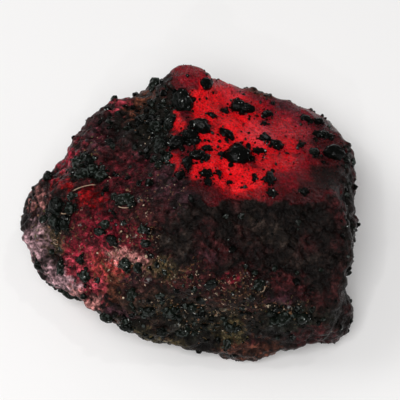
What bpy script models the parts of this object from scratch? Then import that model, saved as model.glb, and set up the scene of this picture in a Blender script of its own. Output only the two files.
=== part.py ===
"""Raw ruby crystal: one rough lump of corundum with black amphibole crystals grown into its skin.

Run it with  blender --background --python part.py  or from Blender's text editor.
Units are metres, +Z is up, and the origin is the middle of the base that the stone rests on.
The lump is cleaved out of a block, one natural face or break at a time, then worn round,
roughened and cut flat underneath. The larger amphibole crystals are sunk into its skin
and joined to it, because they grew together.
"""

import math
import random

import bmesh
import bpy
from mathutils import Matrix, Vector
from mathutils.bvhtree import BVHTree

MM = 0.001

# The lump. Every face is given by the way it faces and its distance from the heart.
HEART = Vector((-0.3, -1.8, 7.0)) * MM
BLOCK_SIDE = 60 * MM
# The ring of breaks round its widest part leans back, because the stone lies with its
# back edge high: (degrees round the ring from +X, distance in mm).
GIRDLE_LEAN = math.radians(30)
GIRDLE = (
    (354, 14.1),
    (20, 14.6),
    (43, 13.9),
    (69, 11.6),
    (90, 13.4),
    (113, 11.2),
    (125, 11.4),
    (140, 11.3),
    (151, 11.9),
    (164, 13.8),
    (189, 14.9),
    (206, 12.9),
    (224, 12.8),
    (243, 11.3),
    (252, 11.0),
    (261, 11.5),
    (280, 12.7),
    (304, 16.5),
    (346, 14.2),
)
# (which way it faces in degrees from +X, its slope from level in degrees, distance in mm)
UPPER_FACES = (
    (56, 21, 6.2),
    (142, 27, 6.0),
    (231, 47, 7.6),
    (298, 38, 8.0),
    (180, 42, 8.9),
    (270, 76, 9.3),
    (300, 68, 12.0),
    (2, 58, 12.4),
    (70, 46, 12.2),
    (140, 56, 10.4),
    (205, 62, 11.6),
    (270, 8, 7.6),
)
LOWER_FACES = (
    (10, 104, 13.9),
    (62, 104, 13.6),
    (110, 102, 13.2),
    (165, 110, 12.4),
    (212, 114, 12.7),
)
ROUGH_BASE_DEPTH = 0.8 * MM

# Wear and growth texture of the skin.
MESH_STEP = 1.05 * MM
WEAR_PASSES = 2
# (name, size of the pattern, depth of the pattern)
LUMPS = (
    ("broad_lumps", 6.0 * MM, 1.5 * MM),
    ("small_lumps", 2.2 * MM, 0.7 * MM),
)

# The larger crystals grown into the skin. Each place is in the plane of the leaning
# girdle, in mm from the heart: along +X, and up the lean. Then comes the size in mm.
CRYSTALS = (
    (3.9, 4.8, 2.6),
    (4.4, 8.9, 1.9),
    (5.3, 8.7, 1.5),
    (-0.2, 9.4, 1.9),
    (0.7, 7.3, 2.0),
    (2.9, 6.5, 1.5),
    (6.4, 6.3, 1.4),
    (7.3, 5.8, 1.5),
    (1.4, 3.2, 1.5),
    (6.8, 2.9, 1.4),
    (2.1, 11.5, 1.8),
    (-2.8, 10.5, 1.4),
    (-1.6, 7.0, 1.8),
    (-0.8, 5.7, 1.7),
    (0.9, 4.8, 1.4),
    (12.0, 4.8, 2.2),
    (-8.9, 4.0, 1.9),
    (-9.6, 3.1, 1.7),
    (-8.2, 3.1, 1.7),
    (-7.3, 2.8, 1.6),
    (-11.1, 0.5, 1.9),
    (-10.9, -0.6, 1.5),
    (-7.1, -2.0, 1.7),
    (-8.8, -5.6, 1.4),
    (-5.4, -4.5, 1.4),
    (-5.5, 0.8, 1.6),
    (-12.0, 3.0, 1.2),
    (-12.2, -4.4, 1.3),
    (-10.1, -7.2, 1.4),
    (-6.7, -8.8, 1.4),
    (-5.2, -9.4, 1.3),
    (13.2, -8.6, 4.6),
    (0.2, 10.7, 3.8),
    (-4.8, -7.0, 1.4),
)
CRYSTAL_SEED = 5
CRYSTAL_SUNK = 0.28
CRYSTAL_CUTS = 7


def clear_scene():
    """Removes what the startup scene holds."""
    for old in list(bpy.data.objects):
        bpy.data.objects.remove(old)


def new_collection(name):
    """An empty collection in the scene."""
    made = bpy.data.collections.new(name)
    bpy.context.scene.collection.children.link(made)
    return made


def facing(azimuth, slope):
    """The outward direction of a face: its azimuth from +X, and its slope from level."""
    turn, tilt = math.radians(azimuth), math.radians(slope)
    return Vector(
        (math.sin(tilt) * math.cos(turn), math.sin(tilt) * math.sin(turn), math.cos(tilt))
    )


def in_girdle(across, up):
    """A point or a direction in the plane of the girdle, which leans back."""
    return Vector((across, up * math.cos(GIRDLE_LEAN), up * math.sin(GIRDLE_LEAN)))


def cleave(bm, point, outward):
    """Cuts away all that lies outside a plane, and closes the cut with one face."""
    cut = bmesh.ops.bisect_plane(
        bm,
        geom=bm.verts[:] + bm.edges[:] + bm.faces[:],
        dist=1e-7,
        plane_co=point,
        plane_no=outward,
        clear_outer=True,
    )
    rim = [piece for piece in cut["geom_cut"] if isinstance(piece, bmesh.types.BMEdge)]
    if rim:
        bmesh.ops.edgeloop_fill(bm, edges=rim)


def make_lump():
    """The mesh of the lump with every face and break still sharp."""
    bm = bmesh.new()
    bmesh.ops.create_cube(bm, size=BLOCK_SIDE, matrix=Matrix.Translation(HEART))
    for azimuth, slope, reach in UPPER_FACES + LOWER_FACES:
        outward = facing(azimuth, slope)
        cleave(bm, HEART + outward * reach * MM, outward)
    for degrees, reach in GIRDLE:
        turn = math.radians(degrees)
        outward = in_girdle(math.cos(turn), math.sin(turn))
        cleave(bm, HEART + outward * reach * MM, outward)
    cleave(bm, Vector((0, 0, -ROUGH_BASE_DEPTH)), Vector((0, 0, -1)))
    mesh = bpy.data.meshes.new("ruby_crystal")
    bm.to_mesh(mesh)
    bm.free()
    return mesh


def wear_and_roughen(stone):
    """Rounds the edges, then raises the lumps of the skin."""
    remesh = stone.modifiers.new("even_mesh", "REMESH")
    remesh.mode = "VOXEL"
    remesh.voxel_size = MESH_STEP
    remesh.use_smooth_shade = True
    worn = stone.modifiers.new("worn_edges", "SMOOTH")
    worn.factor = 0.5
    worn.iterations = WEAR_PASSES
    for name, size, depth in LUMPS:
        pattern = bpy.data.textures.new(name, "CLOUDS")
        pattern.noise_scale = size
        pattern.noise_depth = 1
        lumps = stone.modifiers.new(name, "DISPLACE")
        lumps.texture = pattern
        lumps.texture_coords = "LOCAL"
        lumps.strength = depth
        lumps.mid_level = 0.5


def skin_of(stone):
    """A tree of the roughened skin, for finding points on it."""
    bpy.context.view_layer.update()
    return BVHTree.FromObject(stone, bpy.context.evaluated_depsgraph_get())


def make_crystal(name, size, chance):
    """One stubby amphibole crystal about the origin: a ball cut by natural faces."""
    bm = bmesh.new()
    bmesh.ops.create_icosphere(bm, subdivisions=2, radius=size / 2)
    for _ in range(CRYSTAL_CUTS):
        outward = Vector([chance.gauss(0, 1) for _ in range(3)]).normalized()
        cleave(bm, outward * size * chance.uniform(0.33, 0.43), outward)
    mesh = bpy.data.meshes.new(name)
    bm.to_mesh(mesh)
    bm.free()
    return bpy.data.objects.new(name, mesh)


def place_crystals(skin, group):
    """Sinks each crystal into the skin, at its place in the girdle's plane."""
    chance = random.Random(CRYSTAL_SEED)
    sight = in_girdle(0, 1).cross(Vector((1, 0, 0)))
    for number, (across, up, size) in enumerate(CRYSTALS, start=1):
        start = HEART + in_girdle(across, up) * MM - sight * BLOCK_SIDE
        point, outward, _, _ = skin.ray_cast(start, sight)
        if point is None:
            point, outward, _, _ = skin.find_nearest(HEART + in_girdle(across, up) * MM)
        crystal = make_crystal(f"amphibole_{number:02d}", size * MM, chance)
        crystal.location = point - outward * size * MM * CRYSTAL_SUNK
        crystal.rotation_euler = [chance.uniform(0, math.tau) for _ in range(3)]
        crystal.hide_render = True
        crystal.display_type = "WIRE"
        group.objects.link(crystal)


def grow_crystals(stone, group):
    """Joins the crystals to the stone."""
    joined = stone.modifiers.new("grown_crystals", "BOOLEAN")
    joined.operation = "UNION"
    joined.operand_type = "COLLECTION"
    joined.collection = group


def cut_base(stone, group):
    """Cuts the stone flat at z = 0, where it rests."""
    bm = bmesh.new()
    bmesh.ops.create_cube(bm, size=BLOCK_SIDE, matrix=Matrix.Translation((0, 0, -BLOCK_SIDE / 2)))
    mesh = bpy.data.meshes.new("ground")
    bm.to_mesh(mesh)
    bm.free()
    ground = bpy.data.objects.new("ground", mesh)
    ground.hide_render = True
    ground.display_type = "WIRE"
    group.objects.link(ground)
    flat = stone.modifiers.new("flat_base", "BOOLEAN")
    flat.operation = "DIFFERENCE"
    flat.object = ground


def ruby_material():
    """Deep crimson corundum with a dull, stony lustre."""
    made = bpy.data.materials.new("raw_ruby")
    made.use_nodes = True
    shader = made.node_tree.nodes["Principled BSDF"]
    shader.inputs["Base Color"].default_value = (0.09, 0.008, 0.012, 1.0)
    shader.inputs["Roughness"].default_value = 0.4
    shader.inputs["Metallic"].default_value = 0.0
    return made


def main():
    clear_scene()
    parts = new_collection("raw_ruby_crystal")
    crystals = new_collection("crystals_to_join")
    cutters = new_collection("cutters")
    stone = bpy.data.objects.new("ruby_crystal", make_lump())
    parts.objects.link(stone)
    stone.data.materials.append(ruby_material())
    wear_and_roughen(stone)
    place_crystals(skin_of(stone), crystals)
    grow_crystals(stone, crystals)
    cut_base(stone, cutters)


main()
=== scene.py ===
"""Raw ruby crystal: the looks of the stone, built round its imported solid.

The corundum lump is cleaved out of a block in edit mode, worn, given its relief and cut flat
underneath. Black amphibole crystals and small pale grains are modelled once each and set into
its skin by the hundred. Every finish is procedural.
"""

import math
import random

import bpy
import numpy as np
from mathutils import Matrix, Vector, noise
from mathutils.bvhtree import BVHTree


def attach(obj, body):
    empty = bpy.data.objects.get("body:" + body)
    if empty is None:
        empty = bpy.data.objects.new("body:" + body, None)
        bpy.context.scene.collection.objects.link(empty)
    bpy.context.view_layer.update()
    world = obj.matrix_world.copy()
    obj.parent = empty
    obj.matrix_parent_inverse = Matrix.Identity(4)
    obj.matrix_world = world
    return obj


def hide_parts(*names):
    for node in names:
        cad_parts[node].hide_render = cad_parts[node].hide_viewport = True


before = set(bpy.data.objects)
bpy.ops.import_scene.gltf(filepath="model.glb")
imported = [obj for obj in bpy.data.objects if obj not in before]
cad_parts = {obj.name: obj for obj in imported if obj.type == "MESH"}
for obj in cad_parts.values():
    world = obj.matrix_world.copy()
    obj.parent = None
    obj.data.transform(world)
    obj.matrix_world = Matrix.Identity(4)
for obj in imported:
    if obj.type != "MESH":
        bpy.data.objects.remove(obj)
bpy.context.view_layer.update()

bl_info = {
    "name": "Raw Ruby Crystal",
    "version": (1, 0, 0),
    "blender": (4, 5, 0),
    "location": "3D View > Sidebar > Ruby",
    "description": "Models a raw ruby crystal with black amphibole crystals grown into it",
    "category": "Object",
}

MM = 0.001
BODY = "root"
STONE_NODE = "ruby_crystal"

# The stone is laid out as it is seen from the front, looking down at 60 degrees.
# Seen places are in mm from the heart: to the right, and up across the line of sight.
SIGHT_SLOPE = math.radians(60)
FRAME_PIXELS = 400
MM_PER_PIXEL = 0.0836
LENS = 150.0
SENSOR = 36.0
SIGHT_DISTANCE = LENS / SENSOR * FRAME_PIXELS * MM_PER_PIXEL * MM
HEART = Vector((-0.3, -1.8, 7.0)) * MM
RIGHT = Vector((1, 0, 0))
UP = Vector((0, math.sin(SIGHT_SLOPE), math.cos(SIGHT_SLOPE)))
TOWARDS = Vector((0, -math.cos(SIGHT_SLOPE), math.sin(SIGHT_SLOPE)))
AIM = HEART + (RIGHT * 0.92 + UP * 0.84) * MM
EYE = AIM + TOWARDS * SIGHT_DISTANCE

BLOCK_SIDE = 60 * MM
ROUGH_BASE_DEPTH = 0.8 * MM
# A vertex with less weight than this is left out of a group.
LIGHTEST = 0.003
# How near a corner has to be to a cut to lie on it: on the stone, and on a grain one unit wide.
STONE_NEAR = 1e-7
GRAIN_NEAR = 1e-5
# No grain stands higher than this, and none starts lower than the skin just over the floor.
HIGHEST = 14.7 * MM
LOWEST = 0.15 * MM
# Different grains in each stock of black grains, and in the stock of pale ones.
BLACK_KINDS = 5
PALE_KINDS = 4
# What each group's random draws start from.
CRYSTAL_SEED = 11
GRAIN_SEED = 23
PALE_SEED = 31
# Faces of a grain that meet at more than this keep a sharp edge.
SHARP_ANGLE = math.radians(32)
# Where the ring of a rim is cut open, and how ragged it is, for a ring one unit across.
RIM_CUT = -0.22
RIM_RAGGED = 0.02

# The ring of breaks round the widest part: (degrees round the ring from +X, distance in mm).
GIRDLE = (
    (354, 13.8), (20, 14.3), (43, 13.9), (69, 11.6), (90, 13.4), (113, 10.9), (125, 11.2),
    (140, 11.1), (151, 12.3), (164, 13.1), (189, 13.7), (206, 13.2), (224, 13.3), (243, 10.8),
    (252, 10.8), (261, 11.3), (285, 13.1), (304, 16.9), (346, 13.5),
)
# (which way it faces in degrees from +X, its slope from level in degrees, distance in mm)
FACES = (
    (56, 21, 6.2), (142, 27, 6.0), (231, 47, 7.6), (298, 38, 8.0), (180, 42, 8.9), (270, 76, 9.3),
    (300, 68, 12.5), (2, 58, 12.4), (70, 46, 12.2), (140, 56, 10.4), (205, 62, 11.6), (270, 8, 7.6),
    (10, 104, 13.9), (62, 104, 13.6), (110, 102, 13.2), (165, 110, 13.0), (212, 114, 13.1),
)
# Knobs that grew out of the lump: (right, up and towards the eye from the heart, width) in mm.
KNOBS = (
    (11.4, -8.6, 0.2, 4.3), (-0.1, 9.9, -2.2, 4.6), (-11.8, -1.8, -1.6, 3.0),
)

# The clear patch, seen: (right, up) in mm from the heart.
WINDOW_OUTLINE = (
    (-1.9, 11.4), (-0.6, 12.9), (0.9, 12.9), (2.4, 11.7), (4.0, 10.9), (6.0, 10.1), (8.2, 9.5),
    (11.2, 8.7), (12.9, 6.8), (13.0, 3.4), (12.2, 1.2), (9.8, 0.6), (7.8, 0.8), (5.6, 0.9),
    (3.1, 0.9), (1.0, 0.8), (-0.4, 1.9), (-1.2, 3.4), (-1.6, 4.8), (-1.5, 7.0), (-0.9, 8.6),
    (-1.2, 9.8),
)

# Colours of the stone, by name.
PAINTS = {
    "black": ("Black", "The darkest skin", "#0a0706"),
    "charcoal": ("Charcoal", "Stained dark skin", "#160f0d"),
    "ash": ("Ash", "Dusty wisps on the dark face", "#302823"),
    "green_black": ("Green-black", "Crust rich in amphibole", "#1e1f18"),
    "maroon": ("Maroon", "Plain dark red skin", "#3c1618"),
    "plum": ("Plum", "Bluish dark red skin", "#40242c"),
    "wine": ("Wine", "Deep red skin", "#54101a"),
    "blood": ("Blood", "Clean deep red breaks", "#70080c"),
    "raspberry": ("Raspberry", "Bluish red breaks", "#7c1a2a"),
    "magenta": ("Magenta", "The most bluish red breaks", "#94323e"),
    "coral": ("Coral", "Orange-red of the freshest breaks", "#983634"),
    # Lilac: the pale, scraped skin of the lower left edges with a painted reflection of the floor
    # on it.
    "lilac": ("Lilac", "Bleached, scraped edges", "#a68288"),
    "salmon": ("Salmon", "Pale fibrous ridges", "#a26a66"),
    "rust": ("Rust", "Iron stain", "#5a3224"),
    "brown": ("Brown", "Brown stain", "#3e261e"),
    "olive": ("Olive", "Olive crust", "#4c432c"),
    # Ember, rose and glow: the clear patch with painted light let through it, from dim to bright.
    "ember": ("Ember", "Clear patch, little light through it", "#5a0c14"),
    "rose": ("Rose", "Clear patch, some light through it", "#8e0c1c"),
    "glow": ("Glow", "Clear patch, most light through it", "#ff1620"),
    # Blush: a painted pink sheen on the clear patch.
    "blush": ("Blush", "Clear patch, bright and a little hazed", "#f0505e"),
}

# Patches of colour, seen: (right, up, half width, half height, tilt in degrees, strength, paint).
# Each one lies over those before it.
PATCHES = (
    # upper left
    (-7.9, 5.9, 3.4, 2.6, 35, 0.8, "maroon"), (-7.2, 6.2, 1.5, 1.1, 30, 0.8, "plum"),
    (-7.0, 6.2, 1.2, 0.8, 30, 0.3, "raspberry"), (-4.9, 7.4, 2.8, 1.7, 20, 0.9, "charcoal"),
    (-4.1, 9.0, 1.7, 0.8, 20, 1.0, "rust"), (-5.7, 8.8, 0.9, 0.5, 20, 1.0, "magenta"),
    (-3.3, 3.8, 2.3, 1.9, 0, 0.5, "plum"), (-5.4, 2.9, 2.3, 1.9, 0, 0.7, "wine"),
    (-6.0, 4.6, 1.8, 1.2, 0, 0.6, "maroon"), (-2.0, 1.3, 2.4, 1.3, 0, 0.5, "plum"),
    (-3.9, -0.4, 2.4, 1.5, 0, 0.7, "maroon"), (-1.2, 9.8, 1.4, 1.0, 20, 0.8, "maroon"),
    # left edge and tip
    (-10.3, 4.2, 0.7, 1.7, -25, 1.0, "raspberry"), (-10.5, 2.2, 0.7, 0.9, 0, 1.0, "blood"),
    (-10.7, 3.0, 0.5, 0.5, 0, 0.7, "magenta"), (-12.6, 0.9, 0.7, 1.0, 0, 0.9, "salmon"),
    # The lilac on the edges here holds a painted reflection of the floor.
    (-11.8, 1.6, 0.8, 1.2, 0, 0.4, "maroon"), (-12.2, -1.2, 0.9, 0.8, 0, 0.5, "lilac"),
    (-12.9, -2.9, 1.1, 1.3, 10, 0.9, "lilac"), (-11.1, -2.4, 0.9, 1.5, 10, 0.6, "olive"),
    # red field on the left
    (-8.2, 0.2, 1.9, 1.7, 0, 0.9, "wine"), (-8.4, 0.9, 1.3, 0.8, 0, 1.0, "blood"),
    (-7.6, -0.9, 1.6, 1.0, 0, 0.8, "wine"), (-6.8, -2.1, 2.8, 1.4, -20, 0.9, "wine"),
    (-6.4, -2.4, 2.2, 0.9, -20, 0.7, "raspberry"), (-4.7, -2.0, 1.7, 0.8, 0, 0.8, "wine"),
    (-8.3, -3.9, 2.2, 1.8, 0, 1.0, "raspberry"), (-7.6, -3.4, 0.9, 0.8, 0, 0.8, "magenta"),
    (-9.4, -4.9, 1.0, 1.2, 0, 0.9, "magenta"), (-6.9, -5.0, 1.7, 1.0, 0, 1.0, "coral"),
    (-6.8, -6.4, 1.8, 0.9, 0, 0.8, "rust"), (-4.8, -4.1, 1.7, 0.7, -20, 1.0, "salmon"),
    (-4.4, -6.0, 1.3, 1.0, 0, 0.7, "plum"), (-8.3, -6.6, 1.3, 1.1, 0, 1.0, "magenta"),
    # The lilac here holds a painted reflection of the floor on the lower left edge.
    (-10.6, -5.8, 1.9, 1.0, -45, 1.0, "lilac"), (-8.9, -7.5, 1.4, 0.6, -35, 1.0, "salmon"),
    (-5.0, -8.6, 1.9, 0.7, -10, 0.9, "plum"),
    # dark face
    (6.2, -1.7, 2.0, 0.9, -20, 0.8, "ash"), (9.6, -4.2, 1.6, 0.9, 30, 0.3, "ash"),
    (-0.9, -2.6, 1.4, 0.7, 10, 0.5, "ash"), (1.8, -3.9, 1.2, 0.6, 0, 0.5, "plum"),
    (6.1, -5.6, 3.6, 0.8, -5, 0.7, "maroon"), (3.4, -6.0, 0.5, 0.5, 0, 0.9, "raspberry"),
    (7.8, -7.6, 1.4, 0.8, 0, 0.9, "plum"), (11.6, 3.2, 1.0, 3.0, 0, 0.5, "maroon"),
    # lower band and edge
    (-0.4, -6.2, 3.6, 1.6, -10, 0.8, "maroon"), (-1.6, -6.6, 2.2, 0.8, -10, 0.5, "maroon"),
    (-2.4, -7.6, 3.0, 1.4, -10, 0.8, "brown"), (3.6, -8.2, 3.6, 1.4, -5, 0.3, "brown"),
    (-1.4, -6.9, 2.4, 0.7, -10, 0.6, "black"), (-2.0, -5.0, 1.5, 0.8, 0, 0.7, "olive"),
    (-0.6, -9.0, 4.6, 1.6, -10, 0.7, "green_black"), (3.6, -9.9, 1.0, 1.2, 0, 0.8, "olive"),
    (8.6, -9.0, 2.8, 1.2, 5, 0.8, "green_black"), (5.2, -11.6, 2.4, 0.7, 0, 0.7, "rust"),
    (10.6, -10.9, 2.2, 1.0, 5, 0.7, "maroon"), (-3.3, -10.7, 3.0, 0.6, -14, 0.8, "olive"),
    (-6.2, -9.9, 1.6, 0.5, -25, 0.7, "rust"),
)
# Patches inside the clear patch. Its reds are painted light let through the stone, from dim to
# bright, and the pink is a painted sheen.
CLEAR_PATCHES = (
    (8.8, 6.0, 3.4, 2.6, 0, 1.0, "rose"), (9.0, 3.4, 3.0, 1.4, 0, 0.45, "rose"),
    (5.4, 9.2, 2.6, 0.9, -25, 1.0, "rose"), (5.0, 9.0, 1.8, 0.5, -25, 0.3, "glow"),
    (7.6, 9.0, 2.2, 0.4, -20, 0.6, "plum"), (11.8, 5.4, 1.4, 3.0, 10, 0.9, "maroon"),
    (10.4, 7.0, 1.8, 0.8, -30, 0.4, "plum"), (8.6, 7.6, 1.4, 0.7, -20, 0.5, "raspberry"),
    (10.0, 1.2, 1.6, 1.2, 0, 0.9, "maroon"), (11.5, 2.8, 1.8, 1.2, 0, 0.9, "charcoal"),
    (0.0, 11.2, 2.0, 1.4, -25, 1.0, "ember"), (2.4, 9.9, 2.1, 1.0, -25, 1.0, "rose"),
    (0.6, 11.3, 1.8, 0.8, -25, 0.8, "rose"), (3.0, 9.7, 1.5, 0.8, -25, 0.6, "glow"),
    (0.0, 1.3, 1.3, 0.8, 0, 0.9, "maroon"), (4.6, 10.9, 2.6, 0.4, -25, 0.8, "rust"),
    (9.2, 9.4, 3.0, 0.4, -15, 0.8, "rust"), (12.4, 7.5, 1.8, 0.5, -50, 0.8, "rust"),
    (1.3, 8.9, 1.1, 1.5, 0, 1.0, "glow"), (1.7, 5.8, 1.3, 1.2, 0, 1.0, "glow"),
    (4.4, 6.5, 2.6, 1.3, -38, 1.0, "glow"), (2.6, 4.4, 1.9, 1.4, 0, 1.0, "glow"),
    (4.3, 2.9, 2.6, 1.0, 0, 1.0, "glow"), (4.9, 1.7, 2.0, 0.7, 0, 0.2, "glow"),
    (7.2, 4.7, 1.5, 1.5, 0, 0.5, "glow"), (8.2, 6.5, 1.4, 1.1, -20, 0.22, "glow"),
    (-1.0, 7.4, 0.6, 0.7, 0, 0.7, "glow"), (-1.0, 4.1, 0.5, 0.4, 0, 0.4, "glow"),
    (0.6, 3.2, 0.9, 0.8, 0, 0.9, "glow"), (5.4, 8.0, 0.8, 0.6, 0, 0.5, "glow"),
    # Painted pink sheen over the brightest parts of the clear patch.
    (3.2, 10.2, 1.6, 0.7, -25, 0.25, "blush"), (6.0, 6.3, 1.4, 1.1, -20, 0.4, "blush"),
    (8.6, 6.8, 1.2, 0.8, -20, 0.2, "blush"),
)
# How crusted the skin is: (right, up, half width, half height, tilt, strength).
CRUST_SPOTS = (
    (-2.6, 7.0, 2.0, 2.8, -10, 1.0), (-1.9, 4.9, 1.2, 1.6, 0, 0.9), (-5.0, 8.0, 2.4, 1.0, 25, 0.45),
    (-1.0, 9.6, 1.2, 1.0, 0, 0.7), (-8.6, 3.4, 1.6, 1.0, 0, 0.6), (-11.4, -0.8, 1.1, 1.8, 0, 0.3),
    (12.6, 4.4, 0.9, 1.4, 0, 0.6), (-0.6, -8.8, 5.2, 1.5, -12, 0.45),
    (-1.0, -5.8, 3.2, 1.5, -15, 0.4), (4.6, -9.4, 2.4, 1.6, 0, 0.45),
    (8.6, -8.8, 2.6, 1.2, 0, 0.75), (-4.6, -9.8, 2.4, 0.7, -20, 0.6), (5.6, -6.4, 1.2, 0.8, 0, 0.5),
    (13.4, -1.0, 0.7, 4.0, 0, 0.4),
)
# Where pale and rusty flecks gather: (right, up, half width, half height, tilt, strength).
FLECK_SPOTS = (
    (-1.4, -5.2, 3.2, 1.3, -15, 1.0), (4.0, -6.8, 3.0, 1.6, 0, 1.0),
    (0.6, -9.0, 5.0, 1.4, -10, 1.0), (7.8, -8.4, 2.6, 1.2, 0, 1.0), (-6.4, -4.8, 3.0, 1.8, 0, 1.0),
    (-9.6, -2.0, 2.2, 2.6, 0, 0.8), (-3.4, 1.6, 2.6, 1.8, 0, 0.6), (-4.0, -1.6, 2.0, 2.0, 0, 1.0),
    (-11.6, -1.6, 1.6, 2.6, 0, 0.8), (-8.2, 5.4, 1.6, 1.4, 0, 0.4), (-2.6, 6.4, 2.0, 2.2, 0, 0.3),
)

# A crystal against its place: how thick it is, how far it has swollen, how far it stands out.
THICKNESS = 0.8
SWELLING = 1.1
STANDS_OUT = 0.05
# Grains round a crystal: (all of them, those that are knobs of it).
ROUND_A_CLUSTERED_CRYSTAL = (20, 9)
ROUND_A_LONE_CRYSTAL = (10, 5)
# Shares of the crystal's size: (how far out they sit, how wide they are).
KNOB_SHARES = ((0.25, 0.6), (0.22, 0.5))
CRUMB_SHARES = ((0.5, 1.0), (0.08, 0.26))
# Those that land farther off than this share have missed the crystal, and are left out.
FARTHEST = 1.2
# Those nearer than this share are lifted, by this much of what is missing.
LIFTED_WITHIN = 0.62
LIFT = 0.4
# A crystal wider than this, in mm, has knobs no wider than one of this width.
WIDEST_WITH_LARGER_KNOBS = 1.3
# How uneven the three sides of a knob and of a small grain are.
KNOB_SIDES = (0.8, 1.2)
GRAIN_SIDES = (0.7, 1.3)
# Specks on the clear patch, and the powers that make larger grains and specks rarer.
SMALLEST_SPECK = 0.09 * MM
SPECK_SPAN = 0.28 * MM
GRAIN_RARITY = 2.8
SPECK_RARITY = 2.5
# How far a pale rim stands out of the skin, in mm.
RIM_LIFT = 0.12
# Places drawn for each grain that is wanted, because the density turns most of them down.
DRAWS_FOR_A_GRAIN = 12

# The larger black crystals, seen: (right, up, width, height, tilt in degrees) in mm.
BIG_CRYSTALS = (
    (-0.5, 9.0, 1.7, 2.2, 20), (-2.8, 10.5, 1.1, 1.4, 0), (2.5, 11.0, 1.2, 1.1, 0),
    (4.1, 8.6, 1.3, 1.2, -30), (4.9, 8.4, 1.2, 0.8, -20), (6.5, 8.0, 0.9, 0.6, 0),
    (3.0, 8.2, 0.7, 0.5, 30), (1.9, 7.9, 0.8, 0.4, -20), (0.9, 6.9, 1.8, 1.2, -10),
    (0.1, 6.2, 1.3, 1.1, 0), (3.1, 6.3, 1.6, 0.6, -48), (4.0, 4.5, 2.3, 2.1, 5),
    (2.7, 4.6, 0.7, 0.4, 0), (6.4, 6.0, 1.0, 0.6, -10), (7.3, 5.4, 1.2, 0.7, -10),
    (5.8, 4.9, 1.0, 0.5, -5), (1.5, 5.1, 0.9, 0.5, 0), (0.7, 4.5, 1.3, 0.9, 0),
    (1.5, 4.4, 0.4, 0.7, 0), (1.4, 3.0, 1.1, 0.7, 0), (1.6, 2.3, 0.6, 0.7, 0),
    (2.5, 3.0, 0.4, 0.7, 20), (3.4, 2.3, 0.5, 0.3, 0), (5.5, 2.7, 0.4, 0.7, 0),
    (6.7, 2.6, 0.8, 1.4, 0), (12.1, 4.7, 1.8, 1.3, 0), (11.1, 6.2, 1.6, 0.6, 0),
    (9.8, 7.6, 1.0, 0.6, -20), (10.9, 7.4, 0.7, 0.6, 0), (10.5, 4.8, 0.9, 0.7, 0),
    (9.3, 5.4, 0.7, 0.5, 30), (6.3, 7.2, 0.5, 0.4, 0), (7.0, 8.9, 0.4, 0.3, -20),
    (6.9, 1.4, 0.9, 0.6, 0), (9.6, 1.5, 0.7, 0.5, 0), (-1.6, 7.2, 1.1, 0.9, 0),
    (-0.9, 5.6, 1.3, 1.2, 0), (-0.1, 3.9, 0.8, 1.0, 0), (-0.7, 2.9, 0.8, 0.6, 0),
    (-1.8, 4.4, 0.8, 0.9, 0), (0.4, 5.7, 0.9, 0.6, 0), (-2.3, 5.4, 1.1, 1.1, 0),
    (-2.8, 7.0, 1.0, 0.9, 0), (-9.3, 3.9, 1.0, 1.2, 30), (-8.7, 4.3, 0.9, 1.0, 0),
    (-8.9, 3.0, 1.3, 0.9, 0), (-8.1, 3.3, 1.0, 1.1, 0), (-7.4, 2.8, 1.2, 1.0, 0),
    (-11.1, 0.3, 1.3, 1.4, 0), (-9.8, 1.1, 0.8, 0.8, 0), (-10.0, 0.1, 0.9, 0.9, 0),
    (-11.3, -0.9, 0.9, 0.9, 0), (-12.1, -0.8, 0.9, 0.7, 0), (-10.4, -1.2, 0.9, 0.9, 0),
    (-11.8, 2.8, 0.8, 0.9, 0), (-12.6, -4.6, 0.8, 0.8, 0), (-10.4, -7.6, 1.3, 1.0, 0),
    (-6.9, -9.0, 1.1, 0.7, -20), (-5.3, -9.7, 1.1, 0.7, -20), (-7.0, -1.2, 0.8, 0.8, 0),
    (-7.5, -1.8, 0.9, 0.6, 0), (-6.4, -2.5, 1.3, 0.7, -10), (-5.4, 0.8, 1.6, 1.0, -10),
    (-3.8, -1.6, 0.9, 0.6, 0), (-3.6, -2.8, 0.9, 0.6, 0), (-6.4, 5.3, 0.5, 0.5, 0),
    (-8.7, -5.5, 0.8, 1.1, 10), (-9.0, -4.1, 0.5, 0.9, 0), (-10.7, -4.7, 0.5, 1.3, -15),
    (-8.8, -7.2, 0.5, 0.5, 0), (-7.6, -5.9, 0.5, 0.5, 0), (-5.3, -4.5, 0.9, 1.1, 0),
    (-4.3, -4.8, 0.6, 0.9, 0), (-4.7, -7.0, 0.9, 0.9, 0), (-1.6, -8.5, 1.0, 1.3, 0),
    (-3.4, -8.4, 1.0, 0.8, 0), (1.8, -6.1, 1.1, 0.8, 0), (5.7, -6.3, 0.8, 0.9, 0),
    (3.4, -9.7, 1.0, 0.9, 0), (7.9, -9.0, 1.2, 1.1, 0), (9.5, -9.0, 1.0, 0.9, 0),
    (6.9, -8.6, 0.8, 0.6, 0), (-0.6, -10.2, 1.1, 0.7, 0), (-2.2, -10.2, 0.9, 0.7, 0),
    (3.2, -11.2, 0.6, 0.9, 0),
)
# Thin pale rims at the feet of crystals, seen: (right, up, width, height, tilt) in mm.
PALE_RIMS = (
    (-8.7, 1.7, 2.2, 0.5, 184), (-6.9, 2.5, 0.6, 0.8, 80), (-10.6, -0.1, 0.8, 1.0, 50),
    (-6.3, -2.6, 1.3, 0.7, -5), (-5.2, 0.4, 1.4, 0.6, 0), (-11.1, -2.6, 0.5, 0.5, 0),
    (-11.1, -2.6, 0.5, 0.5, 180), (5.9, -6.4, 0.9, 0.9, 60),
)


def linear(hex_colour):
    """An sRGB hex colour as linear red, green and blue."""
    channels = [int(hex_colour[start:start + 2], 16) / 255 for start in (1, 3, 5)]
    return tuple(c / 12.92 if c <= 0.04045 else ((c + 0.055) / 1.055) ** 2.4 for c in channels)


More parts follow.
